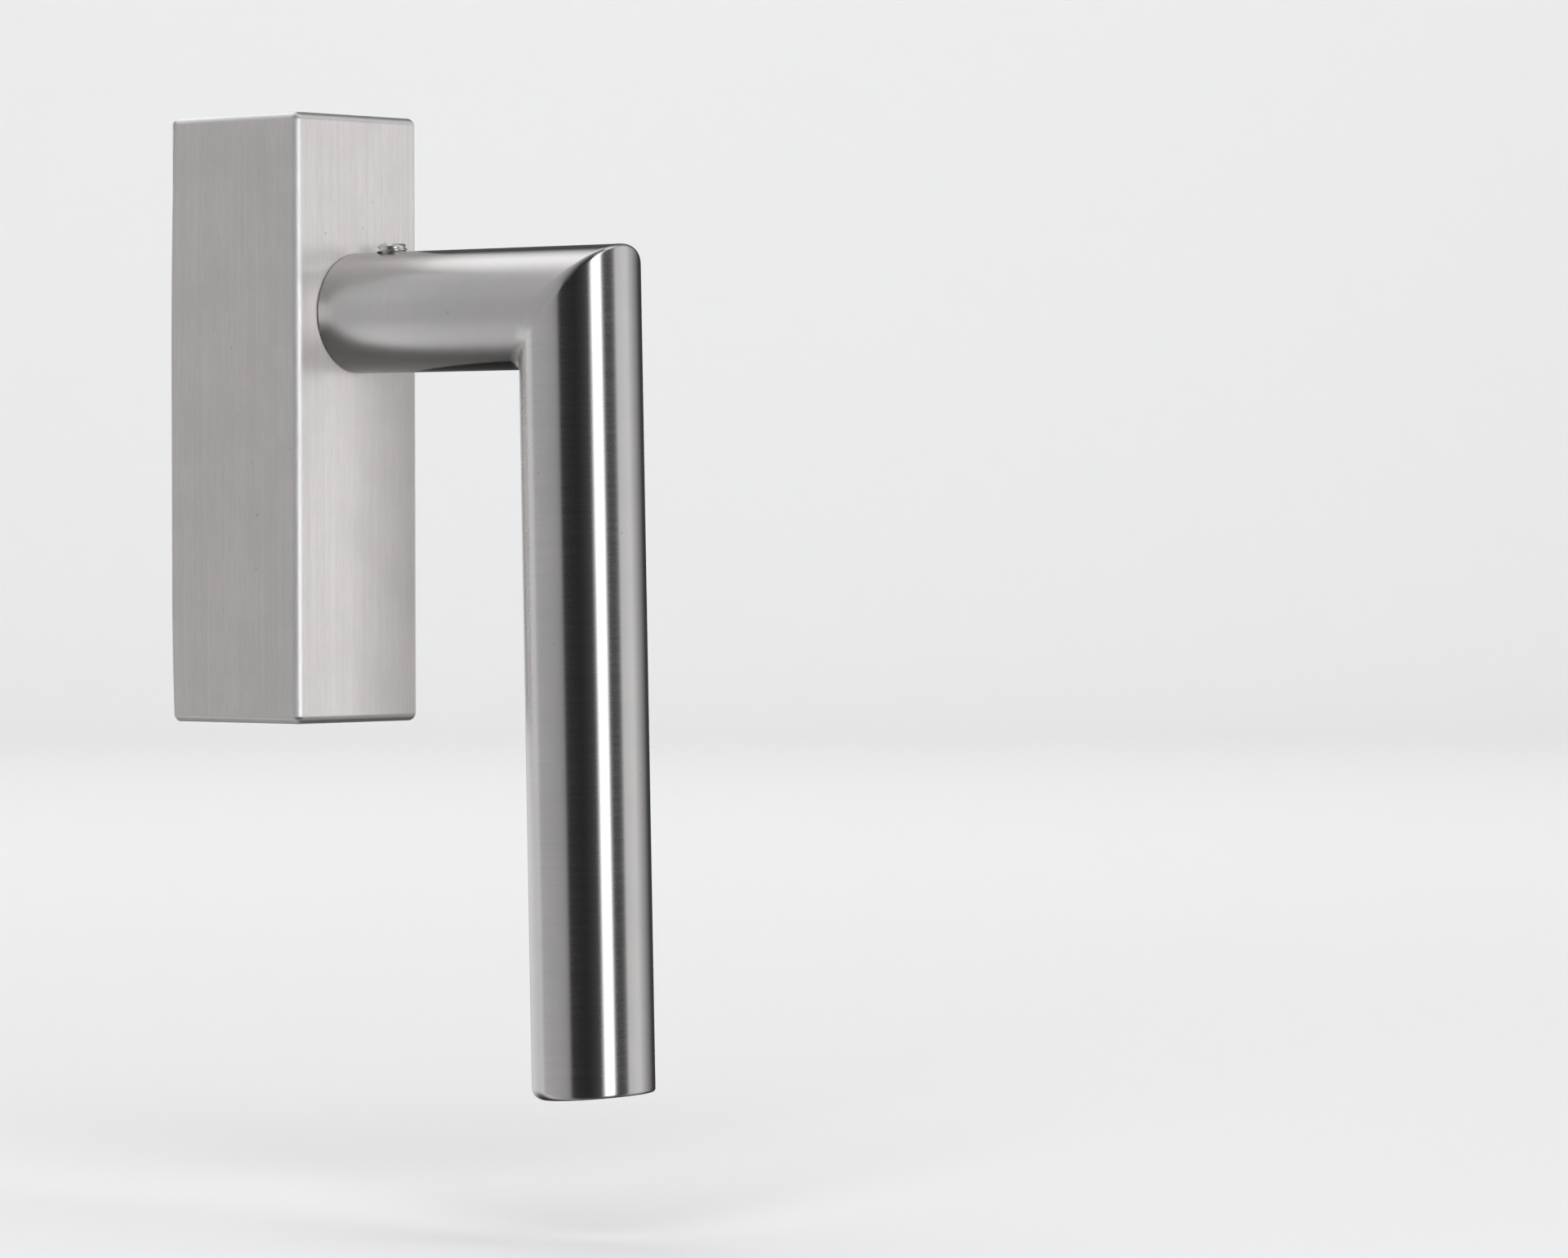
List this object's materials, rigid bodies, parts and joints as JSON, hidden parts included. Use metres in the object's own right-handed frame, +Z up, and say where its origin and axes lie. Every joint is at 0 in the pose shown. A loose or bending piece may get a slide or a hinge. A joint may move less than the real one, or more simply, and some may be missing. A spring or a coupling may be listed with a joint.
{
  "type": "tilt and turn window handle",
  "caption": "Brushed steel L-shaped tube lever on a box-shaped surface gear case, with a rack that drives two pins through the back.",
  "frame": {"origin": "where the spindle's axis meets the plane of the window sash, on the middle of the base plate", "axes": "+Y from the room into the window sash, along the spindle; +Z up along the case; +X to the right, seen from the room"},
  "size_m": [0.029, 0.1016, 0.1606],
  "materials": {
    "casing_steel": "long vertical brushing",
    "lever_steel": "fine brushing around the tube",
    "grub_steel": "bright turned thread",
    "screw_steel": "zinc plated",
    "gear_steel": "machined and oiled",
    "spring_steel": "blued spring steel",
    "zinc": "plain zinc die casting",
    "bronze": "sintered bronze",
    "polymer": "black acetal"
  },
  "bodies": {
    "gear_case": {"casing": "casing_steel", "base_plate": "zinc", "gear_housing": "zinc", "rear_bush": "bronze", "front_bush": "bronze", "neck_guide_ring": "polymer", "detent_springs": "spring_steel", "housing_screws": "screw_steel", "casing_screws": "screw_steel", "mounting_screws": "screw_steel"},
    "lever": {"lever_tube": "lever_steel", "grip_end_cap": "lever_steel", "neck_insert": "zinc", "grub_screw": "grub_steel", "spindle": "gear_steel", "pinion": "gear_steel", "detent_disc": "gear_steel", "thrust_washer": "spring_steel", "retaining_ring": "spring_steel"},
    "driver": {"rack": "gear_steel", "driver_block": "zinc", "driver_pins": "gear_steel", "driver_screw": "screw_steel"}
  },
  "joints": [
    {"name": "lever_turn", "type": "hinge", "parent": "gear_case", "child": "lever", "pos_m": [0, 0, 0], "axis": [0, -1, 0], "range_deg": [0, 180], "deforming": ["detent_springs"]},
    {"name": "rack_slide", "type": "slide", "parent": "gear_case", "child": "driver", "axis": [0, 0, 1], "range_m": [0, 0.0236]}
  ],
  "couplings": [
    {"joint": "rack_slide", "follows": "lever_turn", "m_per_rad": 0.0075}
  ]
}
